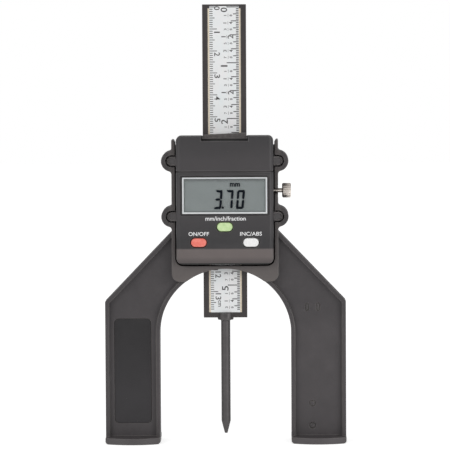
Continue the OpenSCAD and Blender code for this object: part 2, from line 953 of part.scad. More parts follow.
module head_cover() {
    color(head_black) difference() {
        union() {
            difference() {
                intersection() {
                    head_shape();
                    block([-head_half, face, head_bottom], [head_half, frame_front, seam]);
                }
                head_space();
            }
            intersection() {
                head_shape();
                block(
                    [-head_half, face, seam - partition_thickness],
                    [head_half, frame_front - partition_gap, seam]
                );
            }
            block(
                [running_gap - head_inner_half, face_inside + running_gap, seam - partition_thickness],
                [head_inner_half - running_gap, face_inside + running_gap + lap_thickness, seam + lap_height]
            );
            both_sides() for (height = case_screw_heights) {
                pin_back([case_screw_place, height], case_post_radius, case_post_front, frame_front);
            }
            for (place = board_post_places) {
                pin_back(place, board_post_radius, face_inside - head_wall / 2, display_board_front);
            }
        }
        upright(face - overrun, bezel_seat) rounded_plate(
            [-display_width / 2 - display_gap, display_middle - display_height / 2 - display_gap],
            [display_width / 2 + display_gap, display_middle + display_height / 2 + display_gap],
            recess_corner, recess_corner
        );
        upright(bezel_seat - overrun, face_inside + overrun) display_rectangle(
            display_width / 2 - display_gap, display_height / 2 - display_gap
        );
        for (place = [on_off_place, units_place, zero_place]) {
            translate([place[0], 0, place[1]]) upright(face - overrun, face_inside + overrun) {
                stadium(button_width + 2 * running_gap, button_height + 2 * running_gap);
            }
        }
        both_sides() for (height = case_screw_heights) {
            place = [case_screw_place, height];
            radius = case_screw_radius + thread_clearance;
            pin_back(place, radius, case_screw_tip - thread_clearance, frame_front + overrun);
        }
        for (place = board_post_places) {
            radius = board_screw_radius + thread_clearance;
            pin_back(place, radius, board_screw_tip - thread_clearance, display_board_front + overrun);
        }
    }
}

module battery_cover() {
    color(head_black) {
        difference() {
            intersection() {
                head_shape();
                block(
                    [-head_half, face, seam + running_gap],
                    [head_half, frame_front - running_gap, head_top]
                );
            }
            head_space();
            block(
                [-notch_width / 2, face - overrun, notch_bottom],
                [notch_width / 2, frame_front, head_top + overrun]
            );
        }
        both_sides() block(
            [rail_half + running_gap, rail_hook_back + running_gap, rail_bottom - rib_overhang],
            [head_inner_half + head_wall / 2, frame_front - running_gap, rail_top + rib_overhang]
        );
    }
}

module lcd_bezel() {
    inner = [display_width / 2 - display_frame_width, display_height / 2 - display_frame_width];
    color(lcd_white) upright(bezel_seat - bezel_thickness, bezel_seat) difference() {
        display_rectangle(display_width / 2, display_height / 2);
        display_rectangle(inner[0], inner[1]);
    }
}

module lcd_window() {
    margin = display_frame_width + fit_gap;
    color(clear_grey) upright(bezel_seat - window_thickness, bezel_seat) {
        display_rectangle(display_width / 2 - margin, display_height / 2 - margin);
    }
}

module lcd_panel() {
    margin = display_gap + fit_gap;
    color(lcd_grey) upright(bezel_seat, panel_back) {
        display_rectangle(display_width / 2 - margin, display_height / 2 - margin);
    }
}

// The two slots or strips above and below the display's middle, with room added
module strip_places(room) {
    for (side = [-1, 1]) {
        translate([0, side * strip_offset]) {
            display_rectangle(strip_half + room, strip_width / 2 + room);
        }
    }
}

module lcd_holder() {
    color(lcd_white) upright(panel_back, display_board_front) difference() {
        display_rectangle(holder_half[0], holder_half[1]);
        display_rectangle(strip_half, strip_offset - strip_width / 2 - holder_bar);
        strip_places(fit_gap);
    }
}

module zebra_strips() {
    color(rubber_grey) upright(panel_back, display_board_front) strip_places(0);
}

module display_board() {
    notch = [case_screw_place, case_screw_heights[1]] - [1, 1] * (case_post_radius + board_end_gap);
    color(circuit_green) difference() {
        block(
            [-display_board_half, display_board_front, display_board_bottom],
            [display_board_half, display_board_back, display_board_top]
        );
        both_sides() block(
            [notch[0], display_board_front - overrun, notch[1]],
            [display_board_half + overrun, display_board_back + overrun, display_board_top + overrun]
        );
        for (place = board_post_places) {
            radius = board_screw_radius + pass_clearance;
            pin_back(place, radius, display_board_front - overrun, display_board_back + overrun);
        }
    }
}

module switch_domes() {
    color(steel) for (place = [on_off_place, units_place, zero_place]) {
        translate([place[0], display_board_front, place[1]]) dome(dome_radius, dome_height);
    }
}

module board_connector() {
    height = head_bottom + connector_rise;
    color(frame_black) block(
        [-connector_half[0], display_board_back, height - connector_half[1]],
        [connector_half[0], reader_board_front, height + connector_half[1]]
    );
}

module reader_board() {
    color(circuit_green) difference() {
        block(
            [-reader_board_half, reader_board_front, reader_board_bottom],
            [reader_board_half, guide_front, reader_board_top]
        );
        both_sides() for (height = stake_heights) {
            place = [stake_place, height];
            pin_back(place, stake_radius + fit_gap, reader_board_front - overrun, guide_front + overrun);
        }
    }
}

module reader_chip() {
    color(frame_black) translate([0, reader_board_front, head_bottom + chip_rise]) {
        dome(chip_radius, chip_thickness);
    }
}

// One button round its own middle: cap, flange inside the face and stem toward the switch
module button(place) {
    translate([place[0], 0, place[1]]) {
        upright(button_front, button_flange_front) stadium(button_width, button_height);
        upright(button_flange_front, button_flange_back) {
            stadium(button_width + 2 * button_flange, button_height + 2 * button_flange);
        }
        pin_back([0, 0], button_stem_radius, button_flange_back, button_stem_back);
    }
}

module on_off_button() {
    color(red) button(on_off_place);
}

module units_button() {
    color(green) button(units_place);
}

module zero_button() {
    color(white) button(zero_place);
}

module battery() {
    step_front = battery_back - battery_step;
    color(steel) {
        pin_back([0, battery_height], battery_radius, battery_back - battery_thickness, step_front);
        pin_back([0, battery_height], battery_step_radius, step_front, battery_back);
    }
}

// Narrow tail of a battery contact, down to the reader board
module contact_tail(left) {
    foot_bottom = reader_board_top - contact_thickness;
    right = left + contact_tail_width;
    block([left, battery_back, foot_bottom], [right, frame_front, battery_height]);
    block([left, battery_back, foot_bottom], [right, reader_board_front, reader_board_top]);
}

module battery_minus_contact() {
    color(steel) {
        block(
            [-contact_half, battery_back, battery_height - contact_half],
            [contact_half, frame_front, battery_height + contact_half]
        );
        contact_tail(-contact_tail_width / 2);
    }
}

module battery_plus_contact() {
    top = battery_height + contact_half;
    color(steel) {
        block(
            [battery_radius, battery_back - contact_reach, battery_height - contact_half],
            [battery_radius + contact_thickness, frame_front, top]
        );
        block(
            [battery_radius, battery_back, battery_height - contact_half],
            [plus_tail_place + contact_tail_width, frame_front, top]
        );
        contact_tail(plus_tail_place);
    }
}

module top_wiper() {
    high = top_wiper_seat + top_wiper_height;
    color(felt_grey) upright(guide_front - wiper_thickness, guide_front) polygon([
        [-bar_half, top_wiper_seat],
        [bar_half, top_wiper_seat],
        [bar_half, high],
        [-bar_half, high - top_wiper_slant]
    ]);
}

module bottom_wiper() {
    color(felt_grey) block(
        [-bar_half, guide_front - wiper_thickness, head_bottom],
        [bar_half, guide_front, head_bottom + bottom_wiper_height]
    );
}

module case_screws() {
    color(steel) both_sides() for (height = case_screw_heights) {
        screw_from_behind(
            [case_screw_place, height], case_screw_seat, case_screw_tip,
            case_screw_radius, case_screw_head_radius, case_screw_head
        );
    }
}

module board_screws() {
    color(steel) for (place = board_post_places) {
        screw_from_behind(
            place, display_board_back, board_screw_tip,
            board_screw_radius, board_screw_head_radius, board_screw_head
        );
    }
}

module head_screws() {
    color(steel) both_sides() for (height = ear_heights) {
        screw_from_behind(
            [housing_half, height], head_screw_seat, head_screw_tip,
            head_screw_radius, head_screw_head_radius, head_screw_head
        );
    }
}

module lock_screw() {
    color(nickel) {
        pin_across(lock_radius, pad_outer, knob_inner);
        translate([knob_inner, lock_axis, lock_height]) rotate([0, 90, 0]) difference() {
            rotate_extrude() polygon([
                [0, 0],
                [knob_radius - knob_chamfer, 0],
                [knob_radius, knob_chamfer],
                [knob_radius, knob_length - knob_chamfer],
                [knob_radius - knob_chamfer, knob_length],
                [0, knob_length]
            ]);
            for (number = [1 : knob_grooves]) {
                place = [knob_radius + groove_radius / 2, 0, -overrun];
                rotate(number * 360 / knob_grooves) translate(place) {
                    cylinder(r = groove_radius, h = knob_length + 2 * overrun);
                }
            }
        }
    }
}

module lock_nut() {
    color(brass) difference() {
        block(
            [nut_inner, lock_axis - nut_half, lock_height - nut_half],
            [nut_outer, lock_axis + nut_half, lock_height + nut_half]
        );
        pin_across(lock_radius + nut_clearance, nut_inner - overrun, nut_outer + overrun);
    }
}

module lock_pad() {
    color(brass) pin_across(pad_radius, pad_inner, pad_outer);
}

module beam() {
    board_half = scale_board_width / 2 + fit_gap;
    label_half = scale_label_width / 2 + fit_gap;
    color(bar_black) difference() {
        block([-bar_half, bar_front, bar_bottom], [bar_half, bar_back, bar_top]);
        block(
            [-board_half, bar_front - overrun, recess_bottom],
            [board_half, recess_floor, recess_top - recess_shoulder]
        );
        block(
            [-label_half, bar_front - overrun, recess_bottom],
            [label_half, recess_floor, recess_top]
        );
        pin_back([0, pin_height], pin_radius + thread_clearance, bar_front - overrun, bar_back + overrun);
        pin_back([0, stop_height], stop_radius + thread_clearance, bar_back - stop_depth, bar_back + overrun);
    }
}

module scale_board() {
    bottom = recess_bottom + fit_gap;
    top = recess_top - fit_gap;
    color(cream) {
        block(
            [-scale_board_width / 2, scale_board_front, bottom],
            [scale_board_width / 2, recess_floor, top - recess_shoulder]
        );
        block(
            [-scale_label_width / 2, scale_board_front, bottom],
            [scale_label_width / 2, recess_floor, top]
        );
    }
}

module scale_label() {
    color(label_white) block(
        [-scale_label_width / 2, scale_board_front - scale_label_thickness, recess_bottom + fit_gap],
        [scale_label_width / 2, scale_board_front, recess_top - fit_gap]
    );
}

module stop_screw() {
    color(steel) screw_from_behind(
        [0, stop_height], bar_back, bar_back - stop_depth + thread_clearance,
        stop_radius, stop_head_radius, stop_head
    );
}

module probe_rod() {
    color(dark_steel) difference() {
        rotate_extrude() polygon([
            [0, probe_tip_height],
            [probe_end_radius, probe_tip_height],
            [probe_radius, probe_tip_height + probe_taper],
            [probe_radius, collar_bottom - collar_fillet],
            [probe_radius + collar_fillet, collar_bottom],
            [collar_radius, collar_bottom],
            [collar_radius, collar_top],
            [0, collar_top]
        ]);
        block(
            [-collar_diameter, bar_front, bar_bottom],
            [collar_diameter, bar_back, collar_top + overrun]
        );
        pin_back([0, pin_height], pin_radius + thread_clearance, -collar_diameter, collar_diameter);
    }
}

module probe_pin() {
    color(steel) pin_back([0, pin_height], pin_radius, -pin_half, pin_half);
}

bridge_frame();
leg_label();
head_rear_frame();
head_cover();
battery_cover();
lcd_bezel();
lcd_window();
lcd_panel();
lcd_holder();
zebra_strips();
display_board();
switch_domes();
board_connector();
reader_board();
reader_chip();
on_off_button();
units_button();
zero_button();
battery();
battery_minus_contact();
battery_plus_contact();
top_wiper();
bottom_wiper();
case_screws();
board_screws();
head_screws();
lock_screw();
lock_nut();
lock_pad();
beam();
scale_board();
scale_label();
stop_screw();
probe_rod();
probe_pin();
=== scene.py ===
# Depth gauge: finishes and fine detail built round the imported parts. Metres, front towards -Y.
import json
import math

import bpy
from mathutils import Matrix, Vector

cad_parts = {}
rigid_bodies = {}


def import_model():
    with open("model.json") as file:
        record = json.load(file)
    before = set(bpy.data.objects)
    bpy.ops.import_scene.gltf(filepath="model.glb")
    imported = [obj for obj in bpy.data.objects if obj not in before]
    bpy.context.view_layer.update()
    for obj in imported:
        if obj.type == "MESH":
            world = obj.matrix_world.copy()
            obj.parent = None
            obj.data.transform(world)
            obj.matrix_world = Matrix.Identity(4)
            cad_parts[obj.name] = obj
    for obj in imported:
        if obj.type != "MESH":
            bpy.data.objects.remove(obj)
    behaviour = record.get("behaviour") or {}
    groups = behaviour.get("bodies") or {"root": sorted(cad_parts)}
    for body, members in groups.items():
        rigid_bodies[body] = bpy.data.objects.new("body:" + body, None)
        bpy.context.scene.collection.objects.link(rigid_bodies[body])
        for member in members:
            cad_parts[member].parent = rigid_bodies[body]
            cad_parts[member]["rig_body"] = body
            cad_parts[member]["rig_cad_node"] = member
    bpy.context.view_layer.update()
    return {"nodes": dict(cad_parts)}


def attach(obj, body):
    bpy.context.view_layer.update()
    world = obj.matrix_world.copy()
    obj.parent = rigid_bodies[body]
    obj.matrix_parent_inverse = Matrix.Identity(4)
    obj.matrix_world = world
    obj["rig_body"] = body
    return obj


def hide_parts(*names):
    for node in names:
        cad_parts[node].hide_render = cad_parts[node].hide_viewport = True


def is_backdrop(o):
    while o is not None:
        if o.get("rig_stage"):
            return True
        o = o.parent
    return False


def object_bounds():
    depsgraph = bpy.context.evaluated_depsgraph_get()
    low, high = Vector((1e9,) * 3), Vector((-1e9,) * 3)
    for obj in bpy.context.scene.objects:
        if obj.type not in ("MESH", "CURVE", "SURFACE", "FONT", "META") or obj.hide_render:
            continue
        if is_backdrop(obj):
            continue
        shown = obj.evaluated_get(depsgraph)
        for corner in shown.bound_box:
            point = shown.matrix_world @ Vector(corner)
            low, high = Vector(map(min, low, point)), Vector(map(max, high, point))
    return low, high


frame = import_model()
mm = 0.001
print("frame loaded")


def only(*pieces):
    # selects these pieces alone and makes the first one active
    bpy.ops.object.select_all(action="DESELECT")
    for piece in pieces:
        piece.select_set(True)
    bpy.context.view_layer.objects.active = pieces[0]


def applied(piece, kind, **settings):
    # adds one modifier and applies it
    only(piece)
    modifier = piece.modifiers.new(kind.title(), kind)
    for name, value in settings.items():
        setattr(modifier, name, value)
    bpy.ops.object.modifier_apply(modifier=modifier.name)


def settled(piece):
    # puts the place, turn and size into the mesh
    only(piece)
    bpy.ops.object.transform_apply(location=True, rotation=True, scale=True)


def joined(name, pieces):
    only(*pieces)
    if len(pieces) > 1:
        bpy.ops.object.join()
    pieces[0].name = name
    return pieces[0]


def smoothed(piece, angle=35):
    only(piece)
    bpy.ops.object.shade_smooth_by_angle(angle=math.radians(angle))


def onBody(piece, body, finish):
    piece.data.materials.clear()
    piece.data.materials.append(finish)
    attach(piece, body)


class Wire:
    # a socket that can stand in a sum
    def __init__(self, finish, socket):
        self.finish = finish
        self.socket = socket

    def maths(self, operation, first, second):
        return self.finish.node("Math", {"operation": operation}, {0: first, 1: second})

    def __add__(self, other):
        return self.maths("ADD", self, other)

    __radd__ = __add__

    def __mul__(self, other):
        return self.maths("MULTIPLY", self, other)

    __rmul__ = __mul__

    def __sub__(self, other):
        return self.maths("SUBTRACT", self, other)

    def __rsub__(self, other):
        return self.maths("SUBTRACT", other, self)

    def __abs__(self):
        return self.maths("ABSOLUTE", self, 0)

    def __gt__(self, other):
        return self.maths("GREATER_THAN", self, other)

    def __lt__(self, other):
        return self.maths("LESS_THAN", self, other)


class Finish:
    # one material, made node by node
    names = {
        "colour": "Base Color", "roughness": "Roughness", "metallic": "Metallic", "normal": "Normal",
        "specular": "Specular IOR Level", "coat": "Coat Weight", "coatRoughness": "Coat Roughness",
        "alpha": "Alpha", "sheen": "Sheen Weight",
    }

    def __init__(self, name):
        self.material = bpy.data.materials.new(name)
        self.material.use_nodes = True
        self.tree = self.material.node_tree
        self.tree.nodes.clear()
        self.place = self.node("TexCoord", {}, {}, "Object")

    def node(self, kind, settings, sockets, out=0):
        made = self.tree.nodes.new("ShaderNode" + kind)
        for name, value in settings.items():
            if name == "stops":
                # a new ramp comes with two stops
                elements = made.color_ramp.elements
                for number, (position, shade) in enumerate(value):
                    stop = elements[number] if number < 2 else elements.new(position)
                    stop.position = position
                    stop.color = (*shade, 1) if isinstance(shade, tuple) else (shade, shade, shade, 1)
            else:
                setattr(made, name, value)
        for name, value in sockets.items():
            if isinstance(value, Wire):
                self.tree.links.new(value.socket, made.inputs[name])
            elif isinstance(value, tuple) and made.inputs[name].type == "RGBA":
                made.inputs[name].default_value = (*value, 1)
            else:
                made.inputs[name].default_value = value
        return Wire(self, made.outputs[out] if made.outputs else None)

    def along(self, axis):
        return self.node("SeparateXYZ", {}, {0: self.place}, "XYZ".index(axis))

    def between(self, axis, low, high):
        # 1 between two places along an axis, else 0
        return (self.along(axis) > low) * (self.along(axis) < high)

    def stretched(self, x, y, z):
        return self.node("Mapping", {}, {"Vector": self.place, "Scale": (x, y, z)})

    def noise(self, size, detail=2, roughness=0.5, where=None):
        # size is about the width of one blotch, in metres
        return self.node("TexNoise", {}, {
            "Vector": where or self.place, "Scale": 1 / size, "Detail": detail, "Roughness": roughness,
        })

    def ramp(self, value, *stops):
        return self.node("ValToRGB", {"stops": stops}, {0: value})

    def blend(self, share, first, second):
        return self.node("Mix", {"data_type": "RGBA"}, {0: share, 6: first, 7: second}, 2)

    def bump(self, height, distance, strength=1):
        return self.node("Bump", {}, {"Height": height, "Distance": distance, "Strength": strength})

    def surface(self, **sockets):
        shader = self.node("BsdfPrincipled", {}, {self.names[name]: value for name, value in sockets.items()})
        self.node("OutputMaterial", {}, {"Surface": shader})
        return self.material


def mouldedPlastic(name, look):
    # textured moulding: slow mottle, fine grain, rubbed paler patches and a few specks of dust, with painted
    # light and painted shade where the look asks for them
    finish = Finish(name)
    mottle = finish.noise(look["mottle"], 3, 0.6)
    grain = finish.noise(look["grain"], 2, 0.6)
    rubbed = finish.ramp(finish.noise(look["mottle"] * 2.3, 4, 0.65), (0.52, 0), (0.78, 1))
    uneven = mottle * 0.3 + 0.7
    tone = finish.blend(mottle, look["dark"], look["pale"])
    tone = finish.blend(rubbed * look["rub"], tone, look["worn"])
    if "paintedLightBand" in look:
        # painted light: a paler band round the head's lower end, where surfaces that face down catch light
        # from below
        low, high = look["paintedLightBand"]
        height = (finish.along("Z") - low) * (1 / (high - low))
        sideways = finish.ramp(abs(finish.along("X")) * 20, (0.5, 1), (0.522, 0))
        litShare = finish.ramp(height, *look["paintedLightStops"]) * sideways * (finish.along("Y") < look["paintedLightFront"])
        tone = finish.blend(litShare * uneven, tone, look["paintedLightTone"])
    if "outer" in look:
        # painted light on the lugs, which stand in the light beside the head
        lug = abs(finish.along("X")) > look["outer"]
        tone = finish.blend(lug * 0.9, tone, look["outerPaintedLight"])
    if "sweep" in look:
        # painted light and painted reflections: a slow change of tone with the height, from (height, share)
        # pairs
        low, high = look["sweep"][0][0], look["sweep"][-1][0]
        height = (finish.along("Z") - low) * (1 / (high - low))
        paintedSweep = finish.ramp(height, *[((z - low) / (high - low), share) for z, share in look["sweep"]])
        tone = finish.blend(paintedSweep * uneven, tone, look["paintedSweep"])
    if "marks" in look:
        # painted shade in the sunken mould marks, found by the box that holds their floors
        inside = 1
        for axis, (low, high) in look["marks"].items():
            inside = finish.between(axis, low, high) * inside
        tone = finish.blend(inside * 0.9, tone, look["markShade"])
    # the rounded edges take the rim tone: partly edge wear, partly a painted highlight along the bevels
    edge = finish.node("Attribute", {"attribute_name": "edgeWear"}, {}, "Fac")
    tone = finish.blend(edge * finish.ramp(mottle, (0.3, 0.35), (0.75, 1)) * look["edge"], tone, look["rim"])
    if "pocket" in look:
        # painted light in the gap round the lugs, inside the four ears, lifting its shade
        pocket = look["pocket"]
        level = abs(abs(finish.along("Z") - pocket["middle"]) - pocket["apart"]) < pocket["reach"]
        sideways = abs(finish.along("X"))
        inside = level * (sideways > pocket["inner"]) * (sideways < pocket["outer"])
        inside = inside * finish.between("Y", pocket["front"], pocket["floor"])
        tone = finish.blend(inside * 0.9, tone, pocket["tone"])
    if "base" in look:
        # the lowest edge lies in the shade of the tray
        tone = finish.blend((finish.along("Z") < look["base"]) * 0.95, tone, look["baseTone"])
    pitch = look["dustPitch"]
    dust = finish.node("TexVoronoi", {"feature": "F1"}, {"Vector": finish.place, "Scale": 1 / pitch})
    speck = (dust < look["dustSize"]) * (finish.noise(pitch * 5, 0) > 0.56)
    tone = finish.blend(speck * 0.5, tone, look["dust"])
    return finish.surface(
        colour=tone,
        roughness=look["roughness"] + (grain - 0.5) * 0.12 - rubbed * look["rub"] * 0.25 - edge * 0.08,
        normal=finish.bump(grain + mottle * 0.6, look["depth"]),
        specular=look["specular"],
    )


bridgeLook = {
    "dark": (0.0385, 0.034, 0.0365), "pale": (0.06, 0.053, 0.056), "worn": (0.085, 0.076, 0.078),
    "mottle": 0.006, "grain": 0.00045, "depth": 0.00003, "rub": 0.35, "roughness": 0.52, "specular": 0.5,
    "dust": (0.3, 0.28, 0.26), "dustPitch": 0.0035, "dustSize": 0.03,
    "rim": (0.125, 0.114, 0.111), "edge": 0.85,
    # painted light on the platform under the head, which faces down
    "paintedLightBand": (0.062, 0.0832), "paintedLightFront": -0.0066, "paintedLightTone": (0.128, 0.112, 0.106),
    "paintedLightStops": [(0, 0.8), (0.55, 1), (0.86, 0.8), (1, 0.6)],
    # painted light: paler foot flange and legs, as if lit from below
    "sweep": [(-0.001, 0.9), (0.0027, 0.9), (0.0033, 0.24), (0.05, 0.24), (0.06, 0)],
    "paintedSweep": (0.1, 0.09, 0.093),
    # painted shade in the sunken mould marks
    "marks": {"X": (0.035, 0.0445), "Y": (-0.0035, -0.0031), "Z": (0.004, 0.063)},
    "markShade": (0.006, 0.005, 0.006),
    "pocket": {
        "middle": 0.11637, "apart": 0.01265, "reach": 0.0029, "inner": 0.0222, "outer": 0.0272,
        "front": -0.0078, "floor": -0.0011, "tone": (0.5, 0.48, 0.49),
    },
}
shellLook = {
    # what the head's finish shares with the finer ones below
    "dark": (0.019, 0.018, 0.02), "pale": (0.03, 0.028, 0.03), "worn": (0.05, 0.047, 0.049),
    "mottle": 0.008, "grain": 0.0003, "depth": 0.00002, "rub": 0.3, "roughness": 0.46, "specular": 0.5,
    "dust": (0.3, 0.28, 0.26), "dustPitch": 0.004, "dustSize": 0.025,
    "rim": (0.12, 0.112, 0.112), "edge": 0.65,
}
headLook = {
    **shellLook, "base": 0.0827, "baseTone": (0.003, 0.003, 0.003),
    # painted light on the chin, which faces down
    "paintedLightBand": (0.0815, 0.0896), "paintedLightFront": -0.008, "paintedLightTone": (0.175, 0.146, 0.14),
    "paintedLightStops": [(0, 0.4), (0.3, 0.65), (0.5, 1), (0.92, 1), (1, 0)],
    # painted reflections: broad paler bands up the face, as from soft lamps on a slightly curved surface
    "sweep": [
        (0.0885, 0.1), (0.093, 0), (0.1, 0.45), (0.105, 0.75), (0.12, 0.5), (0.1238, 0.2), (0.1246, 0.85),
        (0.13, 0.75), (0.134, 0.45), (0.1405, 0.15),
    ],
    "paintedSweep": (0.054, 0.048, 0.051),
}
frameLook = {
    # the pale rim tone paints a highlight on the rounded edges of the lugs
    **shellLook, "dark": (0.012, 0.011, 0.011), "pale": (0.02, 0.018, 0.018), "rim": (0.4, 0.37, 0.36),
    # outer: painted light on the lugs, past this distance across
    "rub": 0.15, "roughness": 0.5, "outer": 0.0222, "outerPaintedLight": (0.15, 0.14, 0.143),
}
barLook = {
    **shellLook, "dark": (0.026, 0.021, 0.021), "pale": (0.04, 0.033, 0.033), "worn": (0.065, 0.056, 0.054),
    "mottle": 0.004, "grain": 0.0006, "roughness": 0.42,
}
panelLook = {
    **shellLook, "dark": (0.014, 0.013, 0.014), "pale": (0.024, 0.022, 0.024), "worn": (0.04, 0.037, 0.038),
    "mottle": 0.01, "grain": 0.0002, "depth": 0.000012, "rub": 0.25, "roughness": 0.6, "specular": 0.4,
    # painted sheen, paler towards the label's lower end
    "sweep": [(0.009, 1), (0.02, 0.8), (0.045, 0.1), (0.057, 0)], "paintedSweep": (0.04, 0.037, 0.04),
}
buttonLooks = {
    "red": {"deep": (0.86, 0.14, 0.11), "pale": (1.0, 0.27, 0.21)},
    "green": {"deep": (0.48, 0.72, 0.3), "pale": (0.7, 0.88, 0.48)},
    "white": {"deep": (0.93, 0.93, 0.92), "pale": (1.0, 1.0, 1.0)},
}


def buttonPlastic(name, look):
    # smooth tinted plastic, paler where fingers rub the crown
    finish = Finish(name)
    cloud = finish.noise(0.0016, 2)
    grain = finish.noise(0.00012, 2)
    return finish.surface(
        colour=finish.blend(finish.ramp(cloud, (0.2, 0), (0.65, 1)), look["deep"], look["pale"]),
        roughness=0.36 + grain * 0.1,
        normal=finish.bump(grain, 0.000006),
        coat=0.15 + cloud * 0.1,
        coatRoughness=0.25,
    )


def plainMetal(name, look):
    # turned or rolled metal: fine lines along one axis, faint tarnish and a few pits
    finish = Finish(name)
    lines = finish.noise(look["line"], 3, 0.6, finish.stretched(*look["stretch"]))
    tarnish = finish.noise(look["patch"], 4, 0.6)
    pits = finish.ramp(finish.noise(look["line"] * 3, 2), (0.66, 0), (0.74, 1))
    tone = finish.blend(tarnish, look["bright"], look["dull"])
    tone = finish.blend(pits * 0.35, tone, look["pit"])
    return finish.surface(
        colour=tone, metallic=look["metal"],
        roughness=look["roughness"] + (lines - 0.5) * 0.25 + (tarnish - 0.5) * 0.12,
        normal=finish.bump(lines - pits * 0.5, look["depth"]),
    )


steelLook = {
    "bright": (0.66, 0.65, 0.63), "dull": (0.48, 0.46, 0.44), "pit": (0.2, 0.17, 0.15), "metal": 1.0,
    "line": 0.0003, "stretch": (1, 1, 1), "patch": 0.002, "depth": 0.000004, "roughness": 0.32,
}
nickelLook = {
    **steelLook, "bright": (0.84, 0.78, 0.72), "dull": (0.62, 0.56, 0.51), "patch": 0.0012,
    "stretch": (8, 1, 1), "roughness": 0.27,
}
brassLook = {**steelLook, "bright": (0.75, 0.56, 0.25), "dull": (0.5, 0.34, 0.13), "pit": (0.2, 0.12, 0.05)}
probeLook = {
    **steelLook, "bright": (0.11, 0.103, 0.104), "dull": (0.065, 0.059, 0.06), "pit": (0.16, 0.14, 0.13),
    "metal": 0.4, "line": 0.0004, "stretch": (1, 1, 6), "patch": 0.003, "depth": 0.00001, "roughness": 0.4,
}


def circuitBoard(name):
    # green solder mask over copper tracks, with tinned pads
    finish = Finish(name)
    tracks = finish.node("TexBrick", {"offset": 0.37, "squash": 1.0}, {
        "Vector": finish.node("Mapping", {}, {"Vector": finish.place, "Rotation": (math.radians(90), 0, 0)}),
        "Color1": (0.0, 0.0, 0.0), "Color2": (0.12, 0.12, 0.12), "Mortar": (1.0, 1.0, 1.0), "Scale": 1.0,
        "Mortar Size": 0.00012, "Brick Width": 0.0042, "Row Height": 0.0011,
    })
    pads = finish.node("TexVoronoi", {"feature": "F1"}, {"Vector": finish.place, "Scale": 1 / 0.0026})
    pad = pads < 0.16
    weave = finish.noise(0.0003, 1)
    tone = finish.blend(tracks, (0.008, 0.085, 0.03), (0.02, 0.17, 0.06))
    tone = finish.blend(pad, tone, (0.6, 0.58, 0.54))
    return finish.surface(
        colour=tone, roughness=0.3 + weave * 0.15, metallic=pad * 0.9,
        normal=finish.bump(tracks + weave * 0.2, 0.00002),
    )


def feltFinish(name):
    # pressed fibres across the bar
    finish = Finish(name)
    fibres = finish.noise(0.00025, 4, 0.7, finish.stretched(0.35, 1, 1.6))
    clumps = finish.noise(0.0015, 2)
    return finish.surface(
        colour=finish.blend(finish.ramp(fibres * 0.7 + clumps * 0.3, (0.3, 0), (0.7, 1)),
                            (0.07, 0.062, 0.06), (0.2, 0.185, 0.18)),
        roughness=0.95 - fibres * 0.1, normal=finish.bump(fibres, 0.00012), sheen=0.3,
    )


def stripRubber(name):
    # conductive and insulating layers side by side
    finish = Finish(name)
    layers = finish.node("TexWave", {"wave_type": "BANDS", "bands_direction": "X"}, {
        "Vector": finish.place, "Scale": 1600.0, "Distortion": 0.3, "Detail": 1.0,
    }, "Fac")
    return finish.surface(
        colour=finish.blend(layers, (0.03, 0.03, 0.03), (0.5, 0.5, 0.5)),
        roughness=0.6 + layers * 0.1, normal=finish.bump(layers, 0.00001),
    )


def displayGlass(name, look):
    # grey liquid crystal, darker along the shaded edge of its frame
    finish = Finish(name)
    sideways = look["halfWidth"] - abs(finish.along("X"))
    upward = look["halfHeight"] - abs(finish.along("Z") - look["middle"])
    nearest = finish.node("Math", {"operation": "MINIMUM"}, {0: sideways, 1: upward})
    edge = finish.ramp(nearest * (1 / look["shade"]), (0.0, 1), (0.55, 0.35), (1.0, 0))
    cloud = finish.noise(0.009, 2)
    cells = finish.noise(0.0002, 1)
    tone = finish.blend(cloud, look["dark"], look["pale"])
    tone = finish.blend(edge * 0.75, tone, look["rim"])
    below = look["middle"] + look["halfHeight"] - finish.along("Z")
    tone = finish.blend(finish.ramp(below * (1 / look["drop"]), (0.4, 1), (1.0, 0)) * 0.6, tone, look["rim"])
    return finish.surface(
        colour=tone, roughness=0.22 + cells * 0.08, normal=finish.bump(cells, 0.000003),
    )


displayLook = {
    "dark": (0.2, 0.228, 0.226), "pale": (0.225, 0.255, 0.252), "rim": (0.1, 0.115, 0.115),
    "halfWidth": 0.0188, "halfHeight": 0.00765, "middle": 0.1135, "shade": 0.0011, "drop": 0.0018,
}


def clearPane(name):
    # thin clear sheet: what is behind it shows, with a faint smudged gloss
    finish = Finish(name)
    smudge = finish.noise(0.004, 4, 0.6)
    return finish.surface(
        colour=(0.92, 0.96, 0.97), roughness=0.06 + smudge * 0.08, alpha=0.05 + smudge * 0.03,
        normal=finish.bump(finish.noise(0.01, 1), 0.00001),
    )


def whiteGloss(name, look):
    # pale moulded frame with a slight cool cast, white in a narrow line and shaded inside it
    finish = Finish(name)
    sideways = look["halfWidth"] - abs(finish.along("X"))
    upward = look["halfHeight"] - abs(finish.along("Z") - look["middle"])
    nearest = finish.node("Math", {"operation": "MINIMUM"}, {0: sideways, 1: upward})
    inner = finish.ramp(nearest * (1 / look["line"]), (0.92, 0), (1.0, 1))
    cloud = finish.noise(0.003, 3)
    grain = finish.noise(0.0002, 1)
    white = finish.blend(cloud, look["dull"], look["clear"])
    return finish.surface(
        colour=finish.blend(inner * 0.85, white, look["shaded"]),
        roughness=0.34 + grain * 0.12, normal=finish.bump(grain, 0.000008),
    )


frameLine = {
    "dull": (0.7, 0.72, 0.73), "clear": (0.8, 0.82, 0.83), "shaded": (0.21, 0.235, 0.235),
    "halfWidth": 0.0193, "halfHeight": 0.0083, "middle": 0.11362, "line": 0.0007,
}


